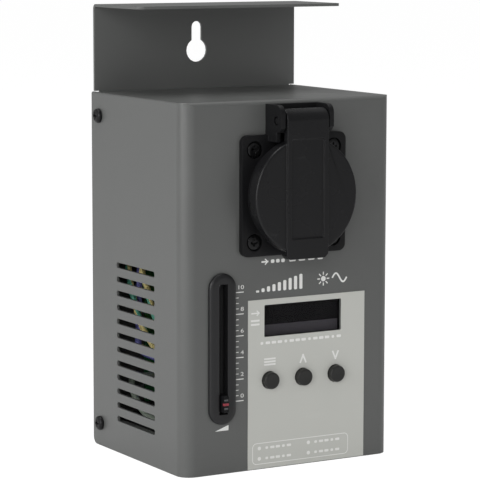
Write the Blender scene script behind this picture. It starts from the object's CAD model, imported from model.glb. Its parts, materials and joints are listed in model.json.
import json
import math

import bmesh
import bpy
from mathutils import Matrix, Vector

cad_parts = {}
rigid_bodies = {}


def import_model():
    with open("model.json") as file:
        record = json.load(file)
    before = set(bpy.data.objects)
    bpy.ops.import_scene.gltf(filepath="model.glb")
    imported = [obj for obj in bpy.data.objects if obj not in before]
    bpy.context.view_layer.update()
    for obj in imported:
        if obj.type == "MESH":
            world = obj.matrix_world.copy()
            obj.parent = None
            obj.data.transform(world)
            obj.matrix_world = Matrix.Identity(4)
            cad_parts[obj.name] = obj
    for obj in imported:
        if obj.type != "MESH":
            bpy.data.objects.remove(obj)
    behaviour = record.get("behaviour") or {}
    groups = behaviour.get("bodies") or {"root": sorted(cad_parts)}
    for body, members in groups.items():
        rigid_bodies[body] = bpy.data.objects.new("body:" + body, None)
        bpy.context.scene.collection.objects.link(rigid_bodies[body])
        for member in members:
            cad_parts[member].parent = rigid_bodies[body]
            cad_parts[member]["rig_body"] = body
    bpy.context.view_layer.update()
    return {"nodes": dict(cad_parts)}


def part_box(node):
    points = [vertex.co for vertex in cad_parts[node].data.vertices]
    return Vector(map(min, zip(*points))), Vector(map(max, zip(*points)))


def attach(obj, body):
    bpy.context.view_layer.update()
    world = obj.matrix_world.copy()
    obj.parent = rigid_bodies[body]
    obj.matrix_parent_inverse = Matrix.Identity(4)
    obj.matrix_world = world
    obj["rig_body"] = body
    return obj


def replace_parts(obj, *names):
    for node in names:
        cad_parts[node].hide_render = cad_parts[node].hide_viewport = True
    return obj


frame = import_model()
scene = bpy.context.scene
scene.view_settings.view_transform = "Standard"

# Camera
# Solved from the straight edges of the photograph: a long lens at the front left, a little above.
# Places on the object are given from the case's own front, middle and foot, in millimetres.
MM = 0.001
FRONT_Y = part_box("front_cover")[0].y


def place(x, y, z):
    return Vector((x * MM, FRONT_Y + y * MM, z * MM))


camera_yaw = math.radians(30.148)
camera_pitch = math.radians(7.426)
camera_roll = math.radians(0.076)
camera_data = bpy.data.cameras.new("photo_camera")
camera_data.lens = 178.737
camera_data.sensor_width = 36
camera_data.clip_end = 20
camera = bpy.data.objects.new("photo_camera", camera_data)
scene.collection.objects.link(camera)
camera_turn = (
    Matrix.Rotation(-camera_yaw, 4, "Z")
    @ Matrix.Rotation(math.pi / 2 - camera_pitch, 4, "X")
    @ Matrix.Rotation(camera_roll, 4, "Z")
)
camera.matrix_world = Matrix.Translation(place(-510.12, -837.298, 223.228)) @ camera_turn
scene.camera = camera

# Studio
# A pale floor that runs to white and is clear from below, an even sky, and soft lamps at the left, near
# the camera, behind on the left and above. A narrow one draws a light strip down the front corner.
WHITE = (1, 1, 1, 1)


def new_node(tree, kind, **values):
    """Adds a shader node. Each value goes to the input of its name, with a space for an underscore."""
    node = tree.nodes.new(f"ShaderNode{kind}")
    for name, value in values.items():
        node.inputs[name.replace("_", " ")].default_value = value
    return node


def new_math(tree, operation, *values):
    """Adds a math node. The values are its second number and its third."""
    node = new_node(tree, "Math")
    node.operation = operation
    for index, value in enumerate(values, 1):
        node.inputs[index].default_value = value
    return node


def link(tree, *rows):
    """Joins sockets. Each row is a node, its output, the next node and its input."""
    for source, output, target, entry in rows:
        tree.links.new(source.outputs[output], target.inputs[entry])


world = bpy.data.worlds.new("studio_sky")
scene.world = world
world.use_nodes = True
sky = world.node_tree
sky.nodes.clear()
sky_path = new_node(sky, "LightPath")
sky_soft = new_node(sky, "Background", Color=WHITE, Strength=0.27)
sky_white = new_node(sky, "Background", Color=WHITE, Strength=1)
sky_mix = new_node(sky, "MixShader")
sky_out = new_node(sky, "OutputWorld")
link(sky, (sky_path, "Is Camera Ray", sky_mix, "Fac"), (sky_soft, 0, sky_mix, 1), (sky_white, 0, sky_mix, 2),
     (sky_mix, 0, sky_out, "Surface"))


def soft_lamp(name, spot, size, watts, tall=None):
    lamp_data = bpy.data.lights.new(name, "AREA")
    lamp_data.energy = watts
    lamp_data.shape = "RECTANGLE"
    lamp_data.size = size
    lamp_data.size_y = tall or size
    lamp = bpy.data.objects.new(name, lamp_data)
    scene.collection.objects.link(lamp)
    aim = (place(0, 40, 90) - spot).to_track_quat("-Z", "Y").to_matrix().to_4x4()
    lamp.matrix_world = Matrix.Translation(spot) @ aim


soft_lamp("key_lamp", place(-1400, -200, 560), 0.45, 7.8, tall=1.3)
soft_lamp("edge_lamp", place(-1260, -800, 200), 0.2, 4.2, tall=1.3)
soft_lamp("front_lamp", place(-900, -1270, 640), 0.6, 4.5)
soft_lamp("rim_lamp", place(-1050, 1150, 380), 0.6, 1.6, tall=1.3)
soft_lamp("top_lamp", place(0, 200, 1500), 1.2, 12)

floor_mesh = bpy.data.meshes.new("floor")
floor_shape = bmesh.new()
bmesh.ops.create_grid(floor_shape, x_segments=1, y_segments=1, size=8)
floor_shape.to_mesh(floor_mesh)
floor_shape.free()
floor = bpy.data.objects.new("floor", floor_mesh)
scene.collection.objects.link(floor)
floor_material = bpy.data.materials.new("floor_white")
floor_material.use_nodes = True
floor_tree = floor_material.node_tree
floor_tree.nodes.clear()
floor_path = new_node(floor_tree, "LightPath")
floor_paper = new_node(floor_tree, "BsdfDiffuse", Color=(0.86, 0.86, 0.86, 1))
floor_glow = new_node(floor_tree, "Emission", Color=WHITE, Strength=1.16)
floor_share = new_math(floor_tree, "MULTIPLY_ADD", 0.67, 0.15)
floor_mix = new_node(floor_tree, "MixShader")
floor_side = new_node(floor_tree, "NewGeometry")
floor_clear = new_node(floor_tree, "BsdfTransparent")
floor_top = new_node(floor_tree, "MixShader")
floor_out = new_node(floor_tree, "OutputMaterial")
link(floor_tree, (floor_path, "Is Camera Ray", floor_share, 0), (floor_share, 0, floor_mix, "Fac"),
     (floor_paper, 0, floor_mix, 1), (floor_glow, 0, floor_mix, 2),
     (floor_side, "Backfacing", floor_top, "Fac"), (floor_mix, 0, floor_top, 1),
     (floor_clear, 0, floor_top, 2), (floor_top, 0, floor_out, "Surface"))
floor_mesh.materials.append(floor_material)

# Sheet metal: cover, back plate and bottom panel
# Bent steel sheet, 1.2 mm, under a fine-textured dark grey powder coat. Cut edges and bends are
# rounded by the coat, so each piece is its CAD solid with every sharp edge softened.
COAT_EDGE = 0.22


def surface_group():
    """Grain of a surface from Object coordinates: a fine height, a soft cloud and thin scratches."""
    group = bpy.data.node_groups.new("surface_grain", "ShaderNodeTree")
    for way, names in (("INPUT", ("Grains per metre", "Clouds per metre")),
                       ("OUTPUT", ("Height", "Mask", "Marks"))):
        for name in names:
            group.interface.new_socket(name, in_out=way, socket_type="NodeSocketFloat")
    given = group.nodes.new("NodeGroupInput")
    result = group.nodes.new("NodeGroupOutput")
    where = new_node(group, "TexCoord")
    fine = new_node(group, "TexNoise", Detail=3, Roughness=0.6)
    cloud = new_node(group, "TexNoise", Detail=4)
    stretch = new_node(group, "Mapping", Rotation=(0.5, 0.3, 0.7), Scale=(14, 190, 60))
    streak = new_node(group, "TexNoise", Scale=3.2, Detail=2)
    thin = new_node(group, "MapRange", From_Min=0.7, From_Max=0.76)
    link(group, (given, "Grains per metre", fine, "Scale"), (given, "Clouds per metre", cloud, "Scale"),
         (where, "Object", fine, "Vector"), (where, "Object", cloud, "Vector"),
         (where, "Object", stretch, "Vector"), (stretch, "Vector", streak, "Vector"),
         (streak, "Fac", thin, "Value"), (fine, "Fac", result, "Height"), (cloud, "Fac", result, "Mask"),
         (thin, "Result", result, "Marks"))
    return group


SURFACE_GROUP = surface_group()


def grained(name, color, roughness, metallic=0.0, grains=900, bump=0.12, lift=0.0001, tone=0.12, spread=0.06,
            clouds=45, marks=0.25, specular=0.5):
    """A material whose tone and gloss vary a little, with a grain in its height and a few faint marks."""
    material = bpy.data.materials.new(name)
    material.use_nodes = True
    tree = material.node_tree
    shader = tree.nodes["Principled BSDF"]
    shader.inputs["Metallic"].default_value = metallic
    shader.inputs["Specular IOR Level"].default_value = specular
    grain = new_node(tree, "Group")
    grain.node_tree = SURFACE_GROUP
    grain.inputs["Grains per metre"].default_value = grains
    grain.inputs["Clouds per metre"].default_value = clouds
    shade = new_node(tree, "Mix")
    shade.data_type = "RGBA"
    shade.inputs["A"].default_value = tuple(c * (1 - tone) for c in color) + (1,)
    shade.inputs["B"].default_value = tuple(min(1, c * (1 + tone)) for c in color) + (1,)
    worn = new_node(tree, "Mix")
    worn.name = "worn"
    worn.data_type = "RGBA"
    worn.inputs["B"].default_value = tuple(min(1, c * 1.35 + 0.02) for c in color) + (1,)
    faint = new_math(tree, "MULTIPLY", marks)
    gloss = new_node(tree, "MapRange", From_Min=0.3, From_Max=0.7, To_Min=roughness - spread,
                     To_Max=roughness + spread)
    relief = new_node(tree, "Bump", Strength=bump, Distance=lift)
    link(tree, (grain, "Mask", shade, "Factor"), (grain, "Marks", faint, 0), (faint, 0, worn, "Factor"),
         (shade, "Result", worn, "A"), (worn, "Result", shader, "Base Color"),
         (grain, "Mask", gloss, "Value"),
         (gloss, "Result", shader, "Roughness"), (grain, "Height", relief, "Height"),
         (relief, "Normal", shader, "Normal"))
    return material


def finished(name, shape, material, body, smooth_angle=40):
    """Makes a bmesh an object that rides on a CAD body, smooth but for edges sharper than the angle."""
    mesh = bpy.data.meshes.new(name)
    for face in shape.faces:
        face.smooth = True
    shape.to_mesh(mesh)
    shape.free()
    mesh.set_sharp_from_angle(angle=math.radians(smooth_angle))
    mesh.materials.append(material)
    piece = bpy.data.objects.new(name, mesh)
    scene.collection.objects.link(piece)
    flat_faces = piece.modifiers.new("flat_faces", "WEIGHTED_NORMAL")
    flat_faces.keep_sharp = True
    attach(piece, body)
    return piece


def body_of_node(node):
    return frame["nodes"][node]["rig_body"]


def eased(shape, width, segments=2, sharp=32, clamp=False):
    """Rounds every edge of a shape that is sharper than an angle. The width is in millimetres."""
    bmesh.ops.remove_doubles(shape, verts=shape.verts, dist=0.002 * MM)
    bmesh.ops.dissolve_limit(shape, angle_limit=math.radians(1.2), verts=shape.verts, edges=shape.edges)
    edges = [e for e in shape.edges if len(e.link_faces) == 2 and e.calc_face_angle(0) > math.radians(sharp)]
    bmesh.ops.bevel(shape, geom=edges, offset=width * MM, offset_type="OFFSET", segments=segments,
                    profile=0.5, affect="EDGES", clamp_overlap=clamp, material=-1)
    bmesh.ops.triangulate(shape, faces=[f for f in shape.faces if len(f.verts) > 4])
    return shape


def softened(node, name, material, width, segments=2):
    """A merged copy of a CAD node with its sharp edges rounded, which stands for the node."""
    shape = bmesh.new()
    shape.from_mesh(frame["nodes"][node].data)
    piece = finished(name, eased(shape, width, segments, clamp=True), material, body_of_node(node))
    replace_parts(piece, node)


paint = grained("grey_powder_coat", (0.112, 0.115, 0.112), 0.34, grains=1500, bump=0.2, lift=0.00012,
                tone=0.08, marks=0.06)
softened("front_cover", "cover_shell", paint, COAT_EDGE)
softened("back_plate", "hooded_plate", paint, COAT_EDGE)
softened("bottom_panel", "foot_tray", paint, COAT_EDGE)

# Cover screws: black pan heads with a cross recess
# Two in each side. The head is turned with a rounded crown, and the cross is cut into it.
AXES = {
    "X": lambda a, b, along: place(along, a, b),
    "Y": lambda a, b, along: place(a, along, b),
    "Z": lambda a, b, along: place(a, b, along),
}


def circle(a, b, radius, sides=64):
    return [(a + radius * math.cos(math.tau * i / sides), b + radius * math.sin(math.tau * i / sides))
            for i in range(sides)]


def rounded(a, b, width, height, radius, steps=8):
    """A rectangle about a middle with round corners."""
    points = []
    for side_a, side_b, first in ((1, 1, 0), (-1, 1, 90), (-1, -1, 180), (1, -1, 270)):
        for i in range(steps + 1):
            angle = math.radians(first + 90 * i / steps)
            point = (a + side_a * (width / 2 - radius) + radius * math.cos(angle),
                     b + side_b * (height / 2 - radius) + radius * math.sin(angle))
            if not points or math.dist(point, points[-1]) > 1e-4:
                points.append(point)
    if math.dist(points[0], points[-1]) < 1e-4:
        points.pop()
    return points


def prism(outline, axis, start, end):
    """A closed solid: a flat outline pushed along an axis, in millimetres."""
    shape = bmesh.new()
    near = [shape.verts.new(AXES[axis](a, b, start)) for a, b in outline]
    far = [shape.verts.new(AXES[axis](a, b, end)) for a, b in outline]
    shape.faces.new(near)
    shape.faces.new(far[::-1])
    for i, vert in enumerate(near):
        j = (i + 1) % len(near)
        shape.faces.new((near[j], vert, far[i], far[j]))
    bmesh.ops.recalc_face_normals(shape, faces=shape.faces)
    return shape


def brick(x0, x1, y0, y1, z0, z1):
    return prism([(x0, z0), (x1, z0), (x1, z1), (x0, z1)], "Y", y0, y1)


def turned(profile, axis, a, b, sides=96):
    """A solid turned from (radius, along) points. It closes on its axis, or on itself as a ring."""
    shape = bmesh.new()
    rings = []
    for radius, along in profile:
        if radius:
            rings.append([shape.verts.new(AXES[axis](p, q, along)) for p, q in circle(a, b, radius, sides)])
        else:
            rings.append([shape.verts.new(AXES[axis](a, b, along))] * sides)
    pairs = list(zip(rings, rings[1:]))
    if profile[0][0]:
        pairs.append((rings[-1], rings[0]))
    for first, second in pairs:
        for i in range(sides):
            j = (i + 1) % sides
            corners = dict.fromkeys((first[i], first[j], second[j], second[i]))
            if len(corners) > 2:
                shape.faces.new(corners)
    bmesh.ops.recalc_face_normals(shape, faces=shape.faces)
    return shape


def rod(radius, start, end, axis, a, b, sides=96):
    return turned([(0, start), (radius, start), (radius, end), (0, end)], axis, a, b, sides)


def add(shape):
    return "UNION", shape


def cut(shape):
    return "DIFFERENCE", shape


def carved(shape, steps):
    """Joins to a shape, or cuts from it, each other shape in turn, as add and cut say."""
    def solid(source, name):
        mesh = bpy.data.meshes.new(name)
        source.to_mesh(mesh)
        source.free()
        item = bpy.data.objects.new(name, mesh)
        scene.collection.objects.link(item)
        return item

    base = solid(shape, "carve_base")
    tools = []
    for operation, other in steps:
        tools.append(solid(other, "carve_tool"))
        change = base.modifiers.new("carve", "BOOLEAN")
        change.operation = operation
        change.solver = "EXACT"
        change.object = tools[-1]
    bpy.context.view_layer.update()
    result = bmesh.new()
    result.from_object(base, bpy.context.evaluated_depsgraph_get())
    for item in tools + [base]:
        mesh = item.data
        bpy.data.objects.remove(item)
        bpy.data.meshes.remove(mesh)
    return result


black_steel = grained("blackened_steel", (0.012, 0.012, 0.013), 0.38, metallic=0.55, grains=2600, bump=0.1,
                      tone=0.3)
CROSS_ARMS = ((3.2, 0.8), (0.8, 3.2))
SCREW_Y = 74.5
for number, side, z in ((1, -1, 144), (2, -1, 10), (3, 1, 144), (4, 1, 10)):
    face = side * 52.5
    head = turned([(0, side * 45), (1.3, side * 45), (1.5, side * 45.3), (1.5, side * 50.5),
                   (3.1, side * 50.5), (3.1, side * 51.2), (2.95, side * 51.8), (2.5, side * 52.25),
                   (1.8, side * 52.44), (0, face)], "X", SCREW_Y, z, 48)
    cuts = []
    for wide, tall in CROSS_ARMS:
        ends = sorted((face - side * 0.9, face + side))
        cuts.append(cut(brick(*ends, SCREW_Y - wide / 2, SCREW_Y + wide / 2, z - tall / 2, z + tall / 2)))
    screw = finished(f"pan_head_{number}", eased(carved(head, cuts), 0.06), black_steel,
                     body_of_node(f"cover_screw_{number}"))
    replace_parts(screw, f"cover_screw_{number}")

# Socket body: square flange, collar, well and hinge ears in one moulding
# Dark, slightly sheeny plastic with a fine spark texture. The flange screws sink in round recesses.
SOCKET_X = 0.7
SOCKET_Z = 114.9
HINGE_Y = -8.6
HINGE_Z = 146
EAR_SPAN = 12.64
moulding = grained("socket_moulding", (0.0075, 0.0075, 0.0082), 0.42, specular=0.2, grains=2100, bump=0.16,
                   lift=0.00008, tone=0.18, marks=0.5)
body_parts = [add(brick(SOCKET_X - EAR_SPAN, SOCKET_X + EAR_SPAN, -2.54, 0, 138.9, 152.5))]
ear = [(0, 152.5), (0, 137.2), (-8.8, 137.2), (-8.8, 141.3), (-10.9, 141.3), (-12.8, 143.2), (-12.8, 148.8)]
for degrees in range(171, 89, -9):
    angle = math.radians(degrees)
    ear.append((-9.1 + 3.7 * math.cos(angle), 148.8 + 3.7 * math.sin(angle)))
for x in (SOCKET_X - EAR_SPAN, SOCKET_X + 10.54):
    body_parts.append(add(prism(ear, "X", x, x + 2.1)))
body_parts += [
    add(rod(22.2, -6.9, -1.27, "Y", SOCKET_X, SOCKET_Z)),
    add(rod(21.4, -1.5, 30, "Y", SOCKET_X, SOCKET_Z)),
    cut(rod(19.75, -8, 10.6, "Y", SOCKET_X, SOCKET_Z)),
]
for x in (SOCKET_X - 9.5, SOCKET_X + 9.5):
    body_parts.append(cut(rod(2.7, 9, 31, "Y", x, SOCKET_Z, 32)))
    body_parts.append(cut(rod(3.8, 13, 31, "Y", x, SOCKET_Z, 32)))
for z in (SOCKET_Z - 19.3, SOCKET_Z + 17.7):
    body_parts.append(cut(brick(SOCKET_X - 2.8, SOCKET_X + 2.8, 9, 31, z, z + 1.6)))
SOCKET_CORNERS = [(SOCKET_X + a, SOCKET_Z + b) for a in (-19, 19) for b in (-19, 19)]
for x, z in SOCKET_CORNERS:
    body_parts.append(cut(rod(3.6, -4, -0.94, "Y", x, z, 48)))
    body_parts.append(cut(rod(1.8, -2, 1, "Y", x, z, 24)))
body_parts.append(cut(rod(1.8, -20, 20, "X", HINGE_Y, HINGE_Z, 32)))
socket_shape = carved(prism(rounded(SOCKET_X, SOCKET_Z, 50, 50, 3), "Y", -2.54, 0), body_parts)
socket = finished("socket_moulding", eased(socket_shape, 0.2), moulding, "root")
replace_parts(socket, "socket_body")

# Contacts, earth clip and flange screws
# Brass sleeves behind the two pin holes, and a sprung strap with a lip at the top and the bottom of the
# well. The screws are small cheese heads with a cross recess.
brass = grained("bright_brass", (0.52, 0.37, 0.15), 0.3, metallic=0.95, grains=1800, bump=0.08, tone=0.1,
                marks=0.4)
softened("contact_sleeve_left", "sleeve_left", brass, 0.1)
softened("contact_sleeve_right", "sleeve_right", brass, 0.1)
softened("earth_clip", "earth_strap", brass, 0.12)
screw_black = grained("black_chrome", (0.022, 0.022, 0.023), 0.2, metallic=0.8, grains=1500, bump=0.3,
                      tone=0.3)
for number, (x, z) in enumerate(SOCKET_CORNERS, 1):
    head = turned([(0, 8), (1.2, 8), (1.5, 7.6), (1.5, -0.94), (3.1, -0.94), (3.1, -2.1), (2.95, -2.28),
                   (2.6, -2.34), (0, -2.34)], "Y", x, z, 48)
    cuts = []
    for wide, tall in CROSS_ARMS:
        cuts.append(cut(brick(x - wide / 2, x + wide / 2, -3, -1.44, z - tall / 2, z + tall / 2)))
    node = min((f"socket_screw_{i}" for i in (1, 2, 3, 4)),
               key=lambda n: math.dist((sum(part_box(n), Vector()) / 2).xz, place(x, 0, z).xz))
    screw = finished(f"flange_screw_{number}", eased(carved(head, cuts), 0.14), screw_black, "root")
    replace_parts(screw, node)

# Socket lid: a shallow cup on a wide strap, rolled round the hinge pin
# The strap has a long shallow recess. A lip stands out below as the thumb tab, and the spring's pocket
# is open to the back.
lid_plastic = grained("lid_moulding", (0.009, 0.009, 0.0098), 0.28, specular=0.25, grains=2100, bump=0.14,
                      lift=0.00008, tone=0.18, marks=0.6)
cup = turned([(0, -12.6), (23.3, -12.6), (23.75, -12.5), (24.08, -12.2), (24.2, -11.75), (24.2, -7),
              (22.7, -7), (22.7, -11), (0, -11)], "Y", SOCKET_X, SOCKET_Z, 128)
STRAP_LEFT = SOCKET_X - 9.9
STRAP_RIGHT = SOCKET_X + 9.9
strap_face = [(STRAP_LEFT + 1.5, 89.2), (STRAP_RIGHT - 1.5, 89.2), (STRAP_RIGHT, 90.7), (STRAP_RIGHT, 146),
              (STRAP_LEFT, 146), (STRAP_LEFT, 90.7)]
tab_face = [(x, min(z, 91.45)) for x, z in strap_face]
lid_parts = [
    add(prism(strap_face, "Y", -13.45, -11.8)),
    add(prism(tab_face, "Y", -13.45, -8.5)),
    add(brick(STRAP_LEFT, STRAP_RIGHT, -13.45, -10.4, 137.6, 146)),
    add(rod(4.85, STRAP_LEFT, STRAP_RIGHT, "X", HINGE_Y, HINGE_Z)),
    cut(rod(3.3, SOCKET_X - 4, SOCKET_X + 4, "X", HINGE_Y, HINGE_Z, 48)),
    cut(brick(SOCKET_X - 4, SOCKET_X + 4, -8.6, -2, 142.7, 149.3)),
    cut(prism(rounded(SOCKET_X, 118.05, 15.6, 40.9, 0.8, 4), "Y", -14, -12.65)),
    cut(rod(1.8, -20, 20, "X", HINGE_Y, HINGE_Z, 32)),
]
lid = finished("lid_cup", eased(carved(cup, lid_parts), 0.3, 3), lid_plastic, "lid")
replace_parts(lid, "socket_lid")

# Lid fittings: rubber seal, hinge pin and return spring
# The seal is a lipped ring in the cup. The spring is a real coil whose ends lie square to the pin.
rubber = grained("seal_rubber", (0.011, 0.011, 0.011), 0.72, grains=1400, bump=0.2, tone=0.2, marks=0.3)
seal = turned([(22.4, -11), (22.4, -7.9), (22.1, -7.35), (21.6, -7.2), (20.7, -7.2), (20.2, -7.4),
               (19.9, -8), (19.9, -11)], "Y", SOCKET_X, SOCKET_Z, 128)
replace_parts(finished("lid_seal", seal, rubber, "lid"), "lid_gasket")
zinc = grained("zinc_plate", (0.52, 0.53, 0.55), 0.34, metallic=0.95, grains=1600, bump=0.1, marks=0.5)
pin = turned([(0, SOCKET_X - 12.26), (1.2, SOCKET_X - 12.26), (1.5, SOCKET_X - 11.96),
              (1.5, SOCKET_X + 11.96), (1.2, SOCKET_X + 12.26), (0, SOCKET_X + 12.26)],
             "X", HINGE_Y, HINGE_Z, 48)
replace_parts(finished("lid_pin", pin, black_steel, body_of_node("hinge_pin")), "hinge_pin")


def swept(points, radius, sides=14, with_uv=False, caps=True):
    """A round bar along points given in metres. With UV, u goes round it and v along it in metres."""
    shape = bmesh.new()
    layer = shape.loops.layers.uv.new("around") if with_uv else None
    points = [Vector(p) for p in points]
    ahead = (points[1] - points[0]).normalized()
    out = ahead.orthogonal().normalized()
    rings = []
    lengths = [0.0]
    for i, point in enumerate(points):
        before = points[max(0, i - 1)]
        after = points[min(len(points) - 1, i + 1)]
        turn = ahead.rotation_difference((after - before).normalized())
        out = (turn @ out).normalized()
        ahead = (after - before).normalized()
        over = ahead.cross(out).normalized()
        rings.append([shape.verts.new(point + (out * math.cos(math.tau * k / sides)
                                               + over * math.sin(math.tau * k / sides)) * radius)
                      for k in range(sides)])
        if i:
            lengths.append(lengths[-1] + (point - points[i - 1]).length)
    for i in range(len(rings) - 1):
        for k in range(sides):
            j = (k + 1) % sides
            face = shape.faces.new((rings[i][k], rings[i][j], rings[i + 1][j], rings[i + 1][k]))
            if layer:
                corners = ((k, i), (k + 1, i), (k + 1, i + 1), (k, i + 1))
                for loop, (u, v) in zip(face.loops, corners):
                    loop[layer].uv = (u / sides, lengths[v])
    if caps:
        shape.faces.new(rings[0][::-1])
        shape.faces.new(rings[-1])
    bmesh.ops.recalc_face_normals(shape, faces=shape.faces)
    return shape


coil = []
TURNS = 6
for i in range(TURNS * 24 + 1):
    angle = math.tau * i / 24
    share = i / (TURNS * 24)
    coil.append(place(SOCKET_X - 3.2 + 6.4 * share, HINGE_Y + 2.5 * math.cos(angle),
                      HINGE_Z + 2.5 * math.sin(angle)))
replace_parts(finished("lid_coil", swept(coil, 0.45 * MM), zinc, body_of_node("lid_spring"), 60),
            "lid_spring")

# Fader bezel and knob
# The bezel is a long moulding with a convex shoulder all round a flat face, and an open slot. The knob
# is a narrow slider with grip ribs and a red pointer line. Behind the slot are two dust lips, the
# lever and the fader's steel can.
FADER_X = -32.56
FADER_Z = 52.4
KNOB_Z = 29.9


def stacked(outlines, axis):
    """A closed solid from outlines of equal length, each with its place along the axis."""
    shape = bmesh.new()
    rings = [[shape.verts.new(AXES[axis](a, b, along)) for a, b in outline] for outline, along in outlines]
    for first, second in zip(rings, rings[1:]):
        for i in range(len(first)):
            j = (i + 1) % len(first)
            shape.faces.new((first[i], first[j], second[j], second[i]))
    shape.faces.new(rings[0][::-1])
    shape.faces.new(rings[-1])
    bmesh.ops.recalc_face_normals(shape, faces=shape.faces)
    return shape


def bezel_ring(inset):
    return rounded(FADER_X, FADER_Z, 12.56 - inset * 2, 62.9 - inset * 2, 6.28 - inset, 20)


shoulder = [(bezel_ring(0), 0)]
for step in range(9):
    angle = math.radians(90 * step / 8)
    shoulder.append((bezel_ring(2.28 * (1 - math.cos(angle))), -0.9 - 1.1 * math.sin(angle)))
bezel_shape = carved(stacked(shoulder, "Y"), [
    add(prism(rounded(FADER_X, FADER_Z, 7.6, 57.94, 3.8, 16), "Y", -1, 2)),
    cut(brick(FADER_X - 2, FADER_X + 2, -4, 4, FADER_Z - 27.05, FADER_Z + 27.05)),
])
bezel_plastic = grained("bezel_moulding", (0.011, 0.011, 0.012), 0.34, specular=0.4, grains=2400, bump=0.1,
                        lift=0.00006, tone=0.2, marks=0.5)
bezel_shape = eased(bezel_shape, 0.15, sharp=36)
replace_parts(finished("fader_surround", bezel_shape, bezel_plastic, "root"), "fader_bezel")
film_black = grained("dust_film", (0.005, 0.005, 0.0055), 0.65, grains=1200, bump=0.1, tone=0.2)
steel = grained("bright_steel", (0.36, 0.365, 0.37), 0.4, metallic=0.9, grains=1500, tone=0.14)
softened("fader_body", "fader_can", steel, 0.15)
for number, side in enumerate((-1, 1)):
    near, far = sorted((FADER_X + side * 0.65, FADER_X + side * 3.1))
    finished(f"dust_lip_{number}", brick(near, far, 2.15, 2.3, FADER_Z - 27.5, FADER_Z + 27.5), film_black,
             "root")
lever_plastic = grained("lever_nylon", (0.5, 0.46, 0.36), 0.45, grains=1500, bump=0.08)
softened("fader_lever", "fader_blade", lever_plastic, 0.1)
knob_side = rounded(-1.3, KNOB_Z, 5.4, 7, 0.5, 4)
knob_cuts = [cut(brick(FADER_X - 0.7, FADER_X + 0.7, -3.3, 2, KNOB_Z - 2.3, KNOB_Z + 2.3))]
for z in (-2.9, -2.1, -1.3, 1.3, 2.1, 2.9):
    knob_cuts.append(cut(brick(FADER_X - 2, FADER_X + 2, -4.3, -3.72, KNOB_Z + z - 0.2, KNOB_Z + z + 0.2)))
knob_plastic = grained("knob_moulding", (0.006, 0.006, 0.007), 0.45, specular=0.25, grains=2000, tone=0.2)
knob_shape = carved(prism(knob_side, "X", FADER_X - 1.2, FADER_X + 1.2), knob_cuts)
knob = finished("knob_grip", eased(knob_shape, 0.07), knob_plastic, "fader")
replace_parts(knob, "fader_knob")
red_ink = grained("red_ink", (0.28, 0.03, 0.045), 0.4, grains=1800, bump=0.06, marks=0.2)
finished("knob_line", brick(FADER_X - 1.21, FADER_X + 1.21, -4.02, -3.4, KNOB_Z - 0.5, KNOB_Z + 0.5),
         red_ink, "fader")
rib_wear = grained("knob_rib_wear", (0.075, 0.075, 0.078), 0.5, grains=2600, bump=0.1, tone=0.5)
for number, z in enumerate((KNOB_Z - 1.75, KNOB_Z + 1.75)):
    rib = brick(FADER_X - 0.9, FADER_X + 0.9, -4.01, -3.6, z - 0.35, z + 0.35)
    finished(f"knob_rib_{number}", rib, rib_wear, "fader")

# Front label with its display and buttons
# A thin grey plate stuck on the front, with round push buttons. The window is smoked acrylic,
# and behind it the module shows a dark glass with unlit digits and a paler lower third.
label_film = grained("label_film", (0.585, 0.59, 0.553), 0.42, grains=1300, bump=0.05, lift=0.00005,
                     tone=0.025, marks=0.03)
softened("front_label", "grey_panel", label_film, 0.04)
smoke = grained("smoked_acrylic", (0.006, 0.0055, 0.0065), 0.1, grains=300, bump=0.01, spread=0.04,
                marks=0.05, specular=0.15)
smoke.node_tree.nodes["Principled BSDF"].inputs["Alpha"].default_value = 0.4
softened("display_window", "smoked_window", smoke, 0.2)
glass_black = grained("display_glass", (0.007, 0.006, 0.008), 0.2, bump=0.01, tone=0.05, marks=0.1,
                      specular=0.1)
softened("display_module", "display_block", glass_black, 0.15)
pale_band = grained("display_band", (0.4, 0.37, 0.43), 0.4, bump=0.03)
finished("display_lower_band", prism(rounded(6.6, 57.8, 38.4, 4.6, 0.2, 3), "Y", 3.44, 3.52), pale_band,
         "root")
segment_ink = grained("unlit_segments", (0.011, 0.009, 0.011), 0.3, bump=0.01, specular=0.1)
DIGIT_BARS = ((0, 3.6, 3.6, 0.6), (0, 0, 3.6, 0.6), (0, -3.6, 3.6, 0.6), (-2.1, 1.8, 0.6, 2.9),
              (2.1, 1.8, 0.6, 2.9), (-2.1, -1.8, 0.6, 2.9), (2.1, -1.8, 0.6, 2.9))
for column in range(4):
    left = -8.1 + column * 7.6
    for dx, dz, wide, tall in DIGIT_BARS:
        segment = prism(rounded(left + 2.6 + dx, 63.9 + dz, wide, tall, 0.25, 2), "Y", 3.44, 3.5)
        finished(f"segment_{column}_{dx + 3:.0f}_{dz + 5:.0f}", segment, segment_ink, "root")
button_plastic = grained("button_moulding", (0.018, 0.018, 0.017), 0.4, specular=0.35, grains=2000, bump=0.1,
                         tone=0.15, marks=0.5)
for name, x in (("menu", -9.6), ("up", 6.5), ("down", 22.6)):
    profile = [(0, -2.66), (1.6, -2.69), (2.6, -2.77), (3, -2.8), (3.23, -2.74), (3.42, -2.56), (3.5, -2.3),
               (3.5, 1.5), (4.5, 1.5), (4.5, 2.5), (1.4, 2.5), (1.4, 6.6), (0, 6.6)]
    node = f"{name}_button"
    button = finished(f"{name}_cap", turned(profile, "Y", x, 37.4, 72), button_plastic, body_of_node(node))
    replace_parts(button, node)

# Print on the front
# All white screen print: the fader's scale with its numbers, rising bars, a lamp and a wave as the large
# signs, and small captions of plain dashes, dots and arrows.
INK_DEPTH = 0.025
white_ink = grained("white_ink", (0.86, 0.86, 0.84), 0.5, grains=1500, bump=0.05, tone=0.04, marks=0.1)


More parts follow.
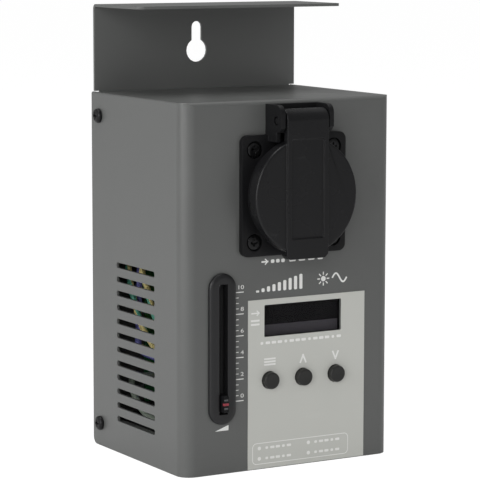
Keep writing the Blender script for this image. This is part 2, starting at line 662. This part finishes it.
def gathered(parts):
    """One shape that holds several others, each left as it is."""
    shape = bmesh.new()
    for part in parts:
        mesh = bpy.data.meshes.new("gathered")
        part.to_mesh(mesh)
        part.free()
        shape.from_mesh(mesh)
        bpy.data.meshes.remove(mesh)
    return shape


def inked(name, outlines, surface):
    """Flat printed shapes in one piece, each outline in (x, z). Their faces lie a hair apart in height."""
    shape = gathered([prism(outline, "Y", surface - INK_DEPTH * (1 + 0.12 * (number % 5)), surface)
                      for number, outline in enumerate(outlines)])
    bmesh.ops.recalc_face_normals(shape, faces=shape.faces)
    finished(name, shape, white_ink, "root")


def bar(x, z, wide, tall):
    return rounded(x, z, wide, tall, min(wide, tall) * 0.3, 2)


def stroke(points, wide):
    """Outlines of straight strokes between points."""
    outlines = []
    for (x0, z0), (x1, z1) in zip(points, points[1:]):
        along = Vector((x1 - x0, z1 - z0)).normalized() * wide / 2
        aside = Vector((-along.y, along.x))
        outlines.append([(x0 - along.x - aside.x, z0 - along.y - aside.y),
                         (x1 + along.x - aside.x, z1 + along.y - aside.y),
                         (x1 + along.x + aside.x, z1 + along.y + aside.y),
                         (x0 - along.x + aside.x, z0 - along.y + aside.y)])
    return outlines


def ribbon(points, wide):
    """One outline of even width along a bent line."""
    sides = [[], []]
    for i, (x, z) in enumerate(points):
        ahead = Vector(points[min(i + 1, len(points) - 1)]) - Vector(points[max(i - 1, 0)])
        aside = Vector((-ahead.y, ahead.x)).normalized() * wide / 2
        sides[0].append((x - aside.x, z - aside.y))
        sides[1].append((x + aside.x, z + aside.y))
    return sides[0] + sides[1][::-1]


SCALE_LOW = 29.98
SCALE_HIGH = 75.35
major_z = [SCALE_LOW + (SCALE_HIGH - SCALE_LOW) * i / 5 for i in range(6)]
scale_marks = []
for i, z in enumerate(major_z):
    scale_marks.append(bar(-23.9, z, 3.8, 0.38))
    if i < 5:
        for k in (1, 2, 3):
            scale_marks.append(bar(-25.1, z + (major_z[1] - major_z[0]) * k / 4, 1.4, 0.3))
inked("fader_scale", scale_marks, 0)
for value, z in zip((0, 2, 4, 6, 8, 10), major_z):
    text = bpy.data.curves.new("number", "FONT")
    text.body = str(value)
    text.size = 2.6 * MM
    text.align_x = "CENTER"
    text.align_y = "CENTER"
    text.extrude = INK_DEPTH * MM / 2
    carrier = bpy.data.objects.new("number", text)
    scene.collection.objects.link(carrier)
    bpy.context.view_layer.update()
    outline = bpy.data.meshes.new_from_object(carrier.evaluated_get(bpy.context.evaluated_depsgraph_get()))
    digits = bmesh.new()
    digits.from_mesh(outline)
    bpy.data.meshes.remove(outline)
    bmesh.ops.remove_doubles(digits, verts=digits.verts, dist=1e-7)
    turn = Matrix.Rotation(math.pi / 2, 4, "X") @ Matrix.Diagonal((1.3, 0.9, 1, 1))
    spot = Matrix.Translation(place(-22.7 if value < 10 else -23.5, -INK_DEPTH / 2, z + 2))
    bmesh.ops.transform(digits, verts=digits.verts, matrix=spot @ turn)
    bpy.data.objects.remove(carrier)
    bpy.data.curves.remove(text)
    finished(f"scale_number_{value}", digits, white_ink, "root")
inked("level_mark", [[(-35.6, 18.2), (-29.2, 18.2), (-29.2, 20.4)]], 0)
CAPTION_Z = 87.2
under_socket = stroke([(-13.2, CAPTION_Z), (-10.6, CAPTION_Z)], 0.7)
under_socket += stroke([(-11.7, 88.2), (-10.6, CAPTION_Z), (-11.7, 86.2)], 0.5)
for x, wide in ((-8.2, 1.7), (-5.7, 1.7), (-3.2, 1.7), (1.4, 3.2), (6, 3.2), (10.6, 3.2), (15, 2.6)):
    under_socket.append(bar(x, CAPTION_Z, wide, 1.5))
inked("socket_caption", under_socket, 0)
bars = [bar(-15.4 + 2.62 * i, 74.6 + (0.9 + 0.68 * i) / 2, 1.5, 0.9 + 0.68 * i) for i in range(9)]
inked("level_bars", bars, 0)
LAMP_X = 16.6
SIGN_Z = 78.1
rays = []
for k in range(8):
    angle = math.tau * k / 8
    rays += stroke([(LAMP_X + 1.9 * math.cos(angle), SIGN_Z + 1.9 * math.sin(angle)),
                    (LAMP_X + 2.7 * math.cos(angle), SIGN_Z + 2.7 * math.sin(angle))], 0.5)
wave = [(21 + 7.2 * i / 24, SIGN_Z + 1.9 * math.sin(math.tau * i / 24)) for i in range(25)]
inked("lamp_mark", [circle(LAMP_X, SIGN_Z, 1.15, 24)] + rays, 0)
inked("wave_mark", [ribbon(wave, 0.75)], 0)
LABEL_Y = -0.2
menu_rows = [bar(-9.5, 45.2 + dz, 5.6, 0.7) for dz in (-1.2, 0, 1.2)]
inked("menu_mark", menu_rows, LABEL_Y)
inked("up_mark", stroke([(5.4, 43.6), (6.7, 46.6), (8, 43.6)], 0.75), LABEL_Y)
inked("down_mark", stroke([(21.4, 46.7), (22.7, 43.7), (24, 46.7)], 0.75), LABEL_Y)
row = [bar(-13.4 + 2.9 * i, 53.2, 2.2 if i % 4 else 1.3, 1.15) for i in range(14)]
inked("display_caption", row, LABEL_Y)
signal_marks = stroke([(-18.2, 66), (-14.8, 66)], 0.6)
signal_marks += stroke([(-15.7, 66.9), (-14.8, 66), (-15.7, 65.1)], 0.5)
signal_marks += [bar(-16.6, z, 4.2, 0.8) for z in (62.9, 61.3)]
inked("signal_mark", signal_marks, LABEL_Y)
frame_outline = rounded(5.7, 6.65, 47.2, 9.1, 2, 6)
frame_inner = rounded(5.7, 6.65, 46.6, 8.5, 1.7, 6)
edge = [[frame_outline[i], frame_outline[(i + 1) % len(frame_outline)],
         frame_inner[(i + 1) % len(frame_inner)], frame_inner[i]] for i in range(len(frame_outline))]
inked("legend_frame", edge, LABEL_Y)
legend = []
for column_x in (-14.5, 9.5):
    for row_z in (8.9, 4.5):
        legend.append(rounded(column_x, row_z, 1.6, 1.6, 0.75, 4))
        legend += [bar(column_x + 3.6 + 2.7 * i, row_z, 2.1 if i % 3 else 1.3, 1.05) for i in range(5)]
inked("legend_rows", legend, LABEL_Y)

# Control board with its switches
# Green board behind the front. The small parts on its back are drawn from ordinary boards.
board_green = grained("solder_mask", (0.018, 0.13, 0.045), 0.36, grains=500, bump=0.1, tone=0.25, clouds=160,
                      marks=0.8)
softened("control_board", "front_board", board_green, 0.12)
switch_steel = grained("switch_case", (0.02, 0.02, 0.021), 0.4, metallic=0.3, grains=1800, bump=0.08)
for number in (1, 2, 3):
    softened(f"tact_switch_{number}", f"key_switch_{number}", switch_steel, 0.12)
for number in (1, 2):
    softened(f"control_standoff_{number}", f"front_post_{number}", zinc, 0.12)
chip_black = grained("chip_resin", (0.012, 0.012, 0.013), 0.5, grains=1500, bump=0.1)
solder = grained("solder", (0.55, 0.56, 0.57), 0.32, metallic=0.9, grains=1200, bump=0.2)
chip_bodies = []
chip_legs = []
for x, z, wide, tall in ((-18, 74, 9, 6), (4, 30, 12, 6), (20, 46, 7, 5), (32, 70, 6, 4)):
    chip_bodies.append((x, z, wide, tall, 14.4))
    for i in range(6):
        spot = x - wide / 2 + wide * (i + 0.5) / 6
        chip_legs += [(spot, z - tall / 2 - 0.6, 0.5, 1.4, 13.2), (spot, z + tall / 2 + 0.6, 0.5, 1.4, 13.2)]
for i in range(16):
    chip_bodies.append((-28 + (i * 23) % 64, 22 + (i * 17) % 60, 2, 1.1, 13.3))


def on_board(name, rows, seat, material):
    """Small blocks on a board, each (x, z, width, height, far face), in one piece."""
    blocks = [brick(x - wide / 2, x + wide / 2, min(seat, far), max(seat, far), z - tall / 2, z + tall / 2)
              for x, z, wide, tall, far in rows]
    finished(name, eased(gathered(blocks), 0.1, clamp=True), material, "root")


FRONT_BOARD_BACK = 12.6
on_board("front_board_chips", chip_bodies, FRONT_BOARD_BACK, chip_black)
on_board("front_board_legs", chip_legs, FRONT_BOARD_BACK, solder)

# Power board and what stands on it
# Transformer, heat sink with the triac on its fin, choke, capacitors and terminals.
softened("power_board", "rear_board", board_green, 0.12)
for number in (1, 2, 3, 4):
    softened(f"power_standoff_{number}", f"rear_post_{number}", zinc, 0.12)
lamination = grained("core_lamination", (0.2, 0.205, 0.21), 0.45, metallic=0.75, bump=0.3, tone=0.3)
core_block = eased(brick(5, 39, 51.5, 71.5, 116.5, 135.5), 0.5, 3)
finished("transformer_core", core_block, lamination, "root")
tape = grained("coil_tape", (0.62, 0.5, 0.08), 0.4, grains=700, bump=0.15, tone=0.15)
coil_block = carved(brick(10, 34, 46.5, 71.5, 111.5, 140.5), [cut(brick(0, 10.4, 40, 80, 100, 116)),
                                                               cut(brick(33.6, 44, 40, 80, 100, 116))])
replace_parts(finished("transformer_coil", eased(coil_block, 1.2, 4), tape, "root"),
            "transformer")
aluminium = grained("drawn_aluminium", (0.55, 0.56, 0.57), 0.36, metallic=0.95, grains=1300, bump=0.14,
                    tone=0.1)
softened("heat_sink", "finned_sink", aluminium, 0.25)
softened("triac", "switching_device", chip_black, 0.2)
ferrite = grained("ferrite_ring", (0.03, 0.031, 0.032), 0.55, grains=1500, bump=0.2)
CHOKE_X = 24
CHOKE_Z = 55
core = turned([(7, 60.4), (7.4, 60), (12.6, 60), (13, 60.4), (13, 69.6), (12.6, 70), (7.4, 70), (7, 69.6)],
              "Y", CHOKE_X, CHOKE_Z, 72)
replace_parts(finished("choke_ring", core, ferrite, "root"), "choke_core")
copper = grained("enamelled_copper", (0.48, 0.16, 0.045), 0.3, metallic=0.85, grains=1600, bump=0.08,
                 tone=0.15)
choke_turns = []
for i in range(34):
    angle = math.radians(90 + 34 + (360 - 68) * i / 33)
    across = Vector((math.cos(angle), math.sin(angle)))
    turn_points = []
    for radius, y in ((6.25, 60), (6.25, 70), (6.9, 70.9), (13.1, 70.9), (13.85, 70), (13.85, 60),
                      (13.1, 59.2), (6.9, 59.2), (6.25, 60)):
        turn_points.append(place(CHOKE_X + across.x * radius, y, CHOKE_Z + across.y * radius))
    choke_turns.append(swept(turn_points, 0.56 * MM, 8, caps=False))
winding = gathered(choke_turns)
bmesh.ops.holes_fill(winding, edges=[e for e in winding.edges if e.is_boundary], sides=8)
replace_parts(finished("choke_turns", winding, copper, "root", 70), "choke_winding")
yellow = grained("capacitor_case", (0.72, 0.47, 0.02), 0.36, grains=1300, bump=0.08, tone=0.08)
softened("suppression_capacitor", "yellow_block", yellow, 0.6, 3)
blue = grained("capacitor_coat", (0.03, 0.075, 0.42), 0.3, bump=0.1)
softened("filter_capacitor", "blue_disc", blue, 0.35)
terminal_plastic = grained("terminal_nylon", (0.55, 0.5, 0.36), 0.45, grains=1300, bump=0.08)
softened("terminal_block", "mains_terminals", terminal_plastic, 0.25)
for i in range(3):
    x = -12 + (i - 1) * 7.6
    blank = turned([(0, 61.2), (1.4, 61.2), (1.7, 61.5), (1.7, 64.5), (0, 64.5)], "Y", x, 27, 32)
    terminal_screw = carved(blank, [cut(brick(x - 2, x + 2, 60, 61.8, 26.7, 27.3))])
    finished(f"terminal_screw_{i + 1}", eased(terminal_screw, 0.08), zinc, "root")
REAR_BOARD_FRONT = 71.5
small_blocks = [(x, z, 6.4, 2.4, 69) for x, z in ((-6, 84), (-6, 88.5), (-20, 84), (-20, 88.5), (14, 106))]
on_board("rear_board_parts", small_blocks, REAR_BOARD_FRONT, terminal_plastic)
on_board("rear_board_chips", [(-18, 118, 10, 7, 68), (-18, 134, 7, 9, 67), (-2, 76, 9, 6.5, 68)],
         REAR_BOARD_FRONT, chip_black)

# Signal sockets, fuse and bush in the bottom panel
# Two three-pin round sockets mouth down, the fuse carrier with its slot, and the ring for the lead. A
# thin black sheet lies on the inside of the panel.
shell_plastic = grained("socket_shell", (0.013, 0.013, 0.014), 0.4, grains=1900, tone=0.2, marks=0.5)
DMX_X = 18
DMX_Y = 29
pins = [(0, 4.8), (-4.8, 0), (0, -4.8)]


def shell_shape(x, cuts):
    steps = [add(rod(11.8, 10.4, 34, "Z", x, DMX_Y))]
    steps += [add(rod(1.2, 33, 38, "Z", x + a, DMX_Y + b, 24)) for a, b in pins]
    return carved(prism(rounded(x, DMX_Y, 26, 31, 2), "Z", 10.4, 12), steps + cuts)


in_cuts = [cut(rod(8.3, 9, 23.4, "Z", -DMX_X, DMX_Y))]
in_cuts += [cut(brick(-19, -17, DMX_Y - 9.3, DMX_Y - 7, 9, 20))]
out_cuts = [cut(turned([(8, 9), (9.8, 9), (9.8, 23.4), (8, 23.4)], "Z", DMX_X, DMX_Y))]
out_cuts += [cut(rod(1.5, 9, 21.4, "Z", DMX_X + a, DMX_Y + b, 24)) for a, b in pins]
out_cuts += [cut(brick(15.2, 20.8, 14, 17.21, 9, 12.5))]
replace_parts(finished("signal_in_shell", eased(shell_shape(-DMX_X, in_cuts), 0.18), shell_plastic, "root"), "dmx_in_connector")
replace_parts(finished("signal_out_shell", eased(shell_shape(DMX_X, out_cuts), 0.18), shell_plastic, "root"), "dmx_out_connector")
silver = grained("silvered_pin", (0.66, 0.66, 0.63), 0.25, metallic=0.95, grains=1300, bump=0.05, tone=0.06)
for number, (a, b) in enumerate(pins, 1):
    pin = turned([(0, 12.4), (0.7, 12.45), (1.2, 12.95), (1.2, 24), (0, 24)], "Z", -DMX_X + a, DMX_Y + b, 32)
    finished(f"signal_pin_{number}", pin, silver, "root")
softened("dmx_latch", "release_tab", zinc, 0.3)
FUSE_X = 28
FUSE_Y = 58
holder = carved(turned([(0, 10.4), (7.7, 10.4), (8, 10.7), (8, 12), (6.2, 12), (6.2, 38), (0, 38)], "Z",
                       FUSE_X, FUSE_Y, 72),
                [cut(rod(4.6, 9, 34.3, "Z", FUSE_X, FUSE_Y, 64))])
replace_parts(finished("fuse_tube", eased(holder, 0.15), shell_plastic, "root"),
            "fuse_holder")
cap_cuts = [add(rod(4.2, 9, 18.1, "Z", FUSE_X, FUSE_Y, 64)),
            cut(rod(2.9, 13.1, 20, "Z", FUSE_X, FUSE_Y, 48)),
            cut(brick(20, 36, 57.3, 58.7, 5, 7.3))]
for a, b in circle(FUSE_X, FUSE_Y, 5.75, 20):
    cap_cuts.append(cut(rod(0.45, 5, 9.4, "Z", a, b, 12)))
cap = carved(turned([(0, 6.1), (5.1, 6.1), (5.6, 6.6), (5.6, 10.1), (0, 10.1)], "Z", FUSE_X, FUSE_Y, 80),
             cap_cuts)
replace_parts(finished("fuse_knob", eased(cap, 0.08), shell_plastic, "fuse_carrier"),
            "fuse_cap")
fuse_glass = bpy.data.materials.new("fuse_glass")
fuse_glass.use_nodes = True
glass_tree = fuse_glass.node_tree
glass_shader = glass_tree.nodes["Principled BSDF"]
glass_shader.inputs["Base Color"].default_value = (0.93, 0.96, 0.95, 1)
glass_shader.inputs["Transmission Weight"].default_value = 1
glass_shader.inputs["IOR"].default_value = 1.5
glass_place = new_node(glass_tree, "TexCoord")
glass_noise = new_node(glass_tree, "TexNoise", Scale=300)
glass_range = new_node(glass_tree, "MapRange", To_Min=0.02, To_Max=0.1)
link(glass_tree, (glass_place, "Object", glass_noise, "Vector"), (glass_noise, "Fac", glass_range, "Value"),
     (glass_range, "Result", glass_shader, "Roughness"))
tube = turned([(1.9, 14.4), (2.5, 14.4), (2.5, 32.4), (1.9, 32.4)], "Z", FUSE_X, FUSE_Y, 48)
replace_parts(finished("fuse_glass_tube", tube, fuse_glass, "fuse_link"), "fuse")
for name, near, far in (("lower", 13.4, 18.2), ("upper", 33.4, 28.6)):
    step = 0.3 if far > near else -0.3
    end_cap = turned([(0, near), (2.4, near), (2.6, near + step), (2.6, far), (2.51, far),
                      (2.51, near + step * 3), (0, near + step * 3)], "Z", FUSE_X, FUSE_Y, 48)
    finished(f"fuse_end_{name}", end_cap, silver, "fuse_link")
finished("fuse_wire", swept([place(28, 58, 14.3), place(28.4, 58.2, 20), place(27.7, 57.8, 27),
                             place(28, 58, 32.5)],
                            0.12 * MM, 8), silver, "fuse_link")
bush = turned([(4, 10.5), (4.5, 10), (7.6, 10), (8, 10.4), (8, 11.6), (7.7, 12), (6, 12), (6, 19.6),
               (5.6, 20), (4.4, 20), (4, 19.6)], "Z", -FUSE_X, FUSE_Y, 80)
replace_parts(finished("lead_bush", bush, rubber, "root"), "cable_bush")

film_cuts = [cut(rod(radius, 12, 15, "Z", x, y, 48))
             for x, y, radius in ((-DMX_X, DMX_Y, 12.2), (DMX_X, DMX_Y, 12.2), (FUSE_X, FUSE_Y, 6.6),
                                  (-FUSE_X, FUSE_Y, 6.4))]
film = carved(prism(rounded(0, 40, 93, 70, 4, 6), "Z", 13.2, 13.36), film_cuts)
finished("insulating_sheet", film, film_black, "root")

# Wires between the socket, the boards and the sheet metal
# PVC-covered wires on smooth routes, with push-on ends on the flat tabs. The two earth wires carry green
# and yellow bands along their length.


def through(points, steps=10):
    """A smooth way through points in millimetres, in metres, with no overshoot at uneven spacing."""
    knots = [place(*p) for p in points]
    knots = [knots[0] * 2 - knots[1]] + knots + [knots[-1] * 2 - knots[-2]]
    way = []
    for p0, p1, p2, p3 in zip(knots, knots[1:], knots[2:], knots[3:]):
        t1 = (p1 - p0).length ** 0.5
        t2 = t1 + (p2 - p1).length ** 0.5
        t3 = t2 + (p3 - p2).length ** 0.5
        for i in range(steps):
            t = t1 + (t2 - t1) * i / steps
            a1 = p0.lerp(p1, t / t1)
            a2 = p1.lerp(p2, (t - t1) / (t2 - t1))
            a3 = p2.lerp(p3, (t - t2) / (t3 - t2))
            b1 = a1.lerp(a2, t / t2)
            b2 = a2.lerp(a3, (t - t1) / (t3 - t1))
            way.append(b1.lerp(b2, (t - t1) / (t2 - t1)))
    return way + [knots[-2]]


earth_cover = grained("earth_pvc", (0.95, 0.8, 0.34), 0.42, bump=0.06, tone=0.06, marks=0.2)
earth_tree = earth_cover.node_tree
band_place = new_node(earth_tree, "TexCoord")
band_parts = new_node(earth_tree, "SeparateXYZ")
band_twist = new_math(earth_tree, "MULTIPLY_ADD", 18)
band_wrap = new_math(earth_tree, "FRACT")
band_mask = new_math(earth_tree, "LESS_THAN", 0.38)
band_color = new_node(earth_tree, "Mix")
band_color.data_type = "RGBA"
band_color.inputs["B"].default_value = (0.14, 0.5, 0.36, 1)
link(earth_tree, (band_place, "UV", band_parts, 0), (band_parts, "Y", band_twist, 0),
     (band_parts, "X", band_twist, 2), (band_twist, 0, band_wrap, 0), (band_wrap, 0, band_mask, 0),
     (band_mask, 0, band_color, "Factor"), (earth_tree.nodes["worn"], "Result", band_color, "A"),
     (band_color, "Result", earth_tree.nodes["Principled BSDF"], "Base Color"))
blue_cover = grained("neutral_pvc", (0.22, 0.22, 0.62), 0.4, bump=0.06, tone=0.06, marks=0.2)
brown_cover = grained("live_pvc", (0.13, 0.045, 0.018), 0.4, bump=0.06, tone=0.06, marks=0.2)
grey_cover = grained("lead_pvc", (0.36, 0.42, 0.35), 0.45, bump=0.06, tone=0.06, marks=0.2)
clear_nylon = grained("receptacle_nylon", (0.42, 0.4, 0.34), 0.35, grains=1200, bump=0.06, tone=0.08)
# Each row: the cover's name, material and slot, the route's points, and each end's place and direction.
routes = {
    "earth_bond_wire": ("bond_cover", earth_cover, "earth_yellow", [
        (-39, 70.6, 92), (-39.4, 67.8, 89.5), (-41.2, 65.6, 79.1), (-41.5, 60.8, 66.9), (-41.5, 52.2, 54.8),
        (-41.5, 43.6, 48.8), (-41.8, 30, 42), (-42, 18, 38.5), (-42, 9.1, 38)],
        [(-39, 79.1, 92, -1), (-42, 1.2, 38, 1)]),
    "socket_earth_wire": ("socket_earth_cover", earth_cover, "earth_yellow", [
        (0.7, 39.2, 114.9), (-0.5, 43.5, 113), (-9, 47, 106), (-24, 49, 97), (-36, 52.5, 88),
        (-41, 53.3, 79.1), (-41.5, 48.6, 73), (-41.5, 41.1, 61), (-41.8, 30, 54.5), (-42, 18, 52.2),
        (-42, 9.1, 52)],
        [(0.7, 31.3, 114.9, 1), (-42, 1.2, 52, 1)]),
    "neutral_wire": ("neutral_cover", blue_cover, "neutral_blue", [
        (-8.8, 37.2, 114.9), (-10.5, 43, 114.9), (-20, 51, 111), (-32, 59, 99), (-37.5, 60.5, 83),
        (-38, 62, 71), (-38, 62.5, 62), (-38, 62.5, 54), (-37.5, 61.5, 43), (-26, 52, 38.5),
        (-20.5, 58, 38), (-19.6, 64.1, 35.3), (-19.6, 65.5, 32.8)],
        [(-8.8, 29.3, 114.9, 1)]),
    "live_wire": ("live_cover", brown_cover, "live_brown", [
        (10.2, 37.2, 114.9), (10, 42, 113), (6, 51, 105), (-2, 60, 98), (-4, 66, 96), (-4, 71.2, 96)],
        [(10.2, 29.3, 114.9, 1)]),
    "control_lead": ("lead_cover", grey_cover, "lead_grey", [
        (-27.5, 71.2, 30), (-28, 68.5, 30), (-33, 67.5, 30.4), (-39, 66.5, 29.6), (-41.5, 61, 25.2),
        (-41.5, 53, 18.8), (-41, 43, 16.4), (-40, 30, 16.4), (-37, 19, 20.5), (-36, 12.9, 22)],
        []),
}
for node, (name, cover, slot, points, ends) in routes.items():
    wire = finished(name, swept(through(points), 1.4 * MM, 18, with_uv=True), cover, "root", 60)
    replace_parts(wire, node)
    for number, (x, base, z, way) in enumerate(ends, 1):
        near, far = sorted((base + way * 0.8, base + way * 8.5))
        sleeve = prism(rounded(x, z, 3, 8.2, 0.7, 4), "Y", near, far)
        hollow = brick(x - 0.7, x + 0.7, min(near, base), max(base + way * 7.3, near), z - 3.3, z + 3.3)
        shell = eased(carved(sleeve, [cut(hollow)]), 0.15)
        finished(f"{name}_end_{number}", shell, clear_nylon, "root")
